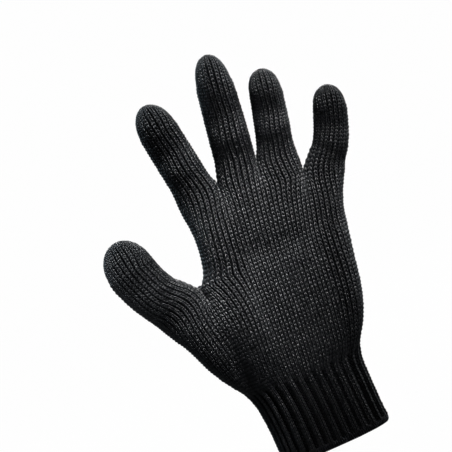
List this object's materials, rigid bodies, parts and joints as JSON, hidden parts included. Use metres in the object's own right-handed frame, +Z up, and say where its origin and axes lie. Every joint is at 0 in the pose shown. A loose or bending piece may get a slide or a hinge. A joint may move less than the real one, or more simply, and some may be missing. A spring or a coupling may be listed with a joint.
{
  "type": "knitted cut-resistant glove",
  "caption": "Left-hand knitted cut-resistant glove in the shape it has when worn: knitted palm, thumb and finger tubes that bend at the knuckles, and a ribbed elastic cuff",
  "frame": {"origin": "on the flat edge of the cuff, below the middle of the glove's overall box", "axes": "+Z up from the cuff to the fingertips, +Y towards the back of the hand, so the palm faces -Y, and +X towards the little finger, so the thumb is at -X"},
  "size_m": [0.192, 0.0562, 0.2742],
  "materials": {
    "knit": "matt black knitted yarn",
    "rib": "matt black rib knit",
    "hem": "matt overlock thread",
    "closure": "matt drawn-up yarn",
    "tack": "matt dark grey yarn end",
    "elastic": "covered elastic thread"
  },
  "bodies": {
    "cuff": {"rib_cuff": "rib", "cuff_hem": "hem", "cuff_elastic_thread": "elastic"},
    "hand": {"wrist_knit": "knit", "palm_body": "knit", "four_finger_band": "knit", "three_finger_band": "knit", "thumb_crotch_tack": "tack", "index_middle_crotch_tack": "tack", "middle_ring_crotch_tack": "tack", "ring_little_crotch_tack": "tack", "index_root_knit": "knit", "middle_root_knit": "knit", "ring_root_knit": "knit", "little_root_knit": "knit", "thumb_root_knit": "knit"},
    "index_lower": {"index_lower_stall": "knit", "index_knuckle_knit": "knit"},
    "index_middle": {"index_middle_stall": "knit", "index_end_knuckle_knit": "knit"},
    "index_tip": {"index_fingertip": "knit", "index_tip_closure": "closure"},
    "middle_lower": {"middle_lower_stall": "knit", "middle_knuckle_knit": "knit"},
    "middle_middle": {"middle_middle_stall": "knit", "middle_end_knuckle_knit": "knit"},
    "middle_tip": {"middle_fingertip": "knit", "middle_tip_closure": "closure"},
    "ring_lower": {"ring_lower_stall": "knit", "ring_knuckle_knit": "knit"},
    "ring_middle": {"ring_middle_stall": "knit", "ring_end_knuckle_knit": "knit"},
    "ring_tip": {"ring_fingertip": "knit", "ring_tip_closure": "closure"},
    "little_lower": {"little_lower_stall": "knit", "little_knuckle_knit": "knit"},
    "little_middle": {"little_middle_stall": "knit", "little_end_knuckle_knit": "knit"},
    "little_tip": {"little_fingertip": "knit", "little_tip_closure": "closure"},
    "thumb_lower": {"thumb_lower_stall": "knit", "thumb_knuckle_knit": "knit"},
    "thumb_tip": {"thumb_tip": "knit", "thumb_tip_closure": "closure"}
  },
  "joints": [
    {"name": "wrist_bend", "type": "hinge", "parent": "cuff", "child": "hand", "pos_m": [-0.00312, 0.00254, 0.062], "axis": [1, 0, 0], "range_deg": [-45, 50], "deforming": ["wrist_knit"]},
    {"name": "index_base_bend", "type": "hinge", "parent": "hand", "child": "index_lower", "pos_m": [-0.02007, -0.00171, 0.19552], "axis": [0.991, 0, 0.1338], "range_deg": [-10, 68], "deforming": ["index_root_knit"]},
    {"name": "index_middle_bend", "type": "hinge", "parent": "index_lower", "child": "index_middle", "pos_m": [-0.02277, -0.00403, 0.21541], "axis": [0.9906, 0, 0.137], "range_deg": [0, 82], "deforming": ["index_knuckle_knit"]},
    {"name": "index_tip_bend", "type": "hinge", "parent": "index_middle", "child": "index_tip", "pos_m": [-0.02559, -0.00649, 0.23627], "axis": [0.9922, 0, 0.1246], "range_deg": [0, 38], "deforming": ["index_end_knuckle_knit"]},
    {"name": "middle_base_bend", "type": "hinge", "parent": "hand", "child": "middle_lower", "pos_m": [0.01279, -0.00184, 0.19936], "axis": [0.985, 0, -0.1723], "range_deg": [-10, 68], "deforming": ["middle_root_knit"]},
    {"name": "middle_middle_bend", "type": "hinge", "parent": "middle_lower", "child": "middle_middle", "pos_m": [0.01656, -0.00484, 0.22272], "axis": [0.9893, 0, -0.1457], "range_deg": [0, 82], "deforming": ["middle_knuckle_knit"]},
    {"name": "middle_tip_bend", "type": "hinge", "parent": "middle_middle", "child": "middle_tip", "pos_m": [0.02002, -0.0083, 0.24725], "axis": [0.9911, 0, -0.1332], "range_deg": [0, 38], "deforming": ["middle_end_knuckle_knit"]},
    {"name": "ring_base_bend", "type": "hinge", "parent": "hand", "child": "ring_lower", "pos_m": [0.04123, -0.00133, 0.19791], "axis": [0.9622, 0, -0.2722], "range_deg": [-10, 68], "deforming": ["ring_root_knit"]},
    {"name": "ring_middle_bend", "type": "hinge", "parent": "ring_lower", "child": "ring_middle", "pos_m": [0.04611, -0.00387, 0.21626], "axis": [0.9704, 0, -0.2416], "range_deg": [0, 82], "deforming": ["ring_knuckle_knit"]},
    {"name": "ring_tip_bend", "type": "hinge", "parent": "ring_middle", "child": "ring_tip", "pos_m": [0.05028, -0.00594, 0.23469], "axis": [0.9845, 0, -0.1756], "range_deg": [0, 38], "deforming": ["ring_end_knuckle_knit"]},
    {"name": "little_base_bend", "type": "hinge", "parent": "hand", "child": "little_lower", "pos_m": [0.07009, -0.0009, 0.17801], "axis": [0.7553, 0, -0.6553], "range_deg": [-10, 68], "deforming": ["little_root_knit"]},
    {"name": "little_middle_bend", "type": "hinge", "parent": "little_lower", "child": "little_middle", "pos_m": [0.07892, -0.00323, 0.19103], "axis": [0.9014, 0, -0.4331], "range_deg": [0, 82], "deforming": ["little_knuckle_knit"]},
    {"name": "little_tip_bend", "type": "hinge", "parent": "little_middle", "child": "little_tip", "pos_m": [0.08462, -0.00424, 0.20545], "axis": [0.9563, 0, -0.2924], "range_deg": [0, 38], "deforming": ["little_end_knuckle_knit"]},
    {"name": "thumb_base_bend", "type": "hinge", "parent": "hand", "child": "thumb_lower", "pos_m": [-0.06194, -0.00878, 0.13241], "axis": [0.4046, 0.6727, 0.6194], "range_deg": [-12, 38], "deforming": ["thumb_root_knit"]},
    {"name": "thumb_tip_bend", "type": "hinge", "parent": "thumb_lower", "child": "thumb_tip", "pos_m": [-0.07329, -0.01579, 0.15173], "axis": [0.5996, 0.6848, 0.4141], "range_deg": [0, 62], "deforming": ["thumb_knuckle_knit"]}
  ],
  "couplings": [
    {"joint": "index_tip_bend", "follows": "index_middle_bend", "ratio": 0.45},
    {"joint": "middle_tip_bend", "follows": "middle_middle_bend", "ratio": 0.45},
    {"joint": "ring_tip_bend", "follows": "ring_middle_bend", "ratio": 0.45},
    {"joint": "little_tip_bend", "follows": "little_middle_bend", "ratio": 0.45}
  ]
}
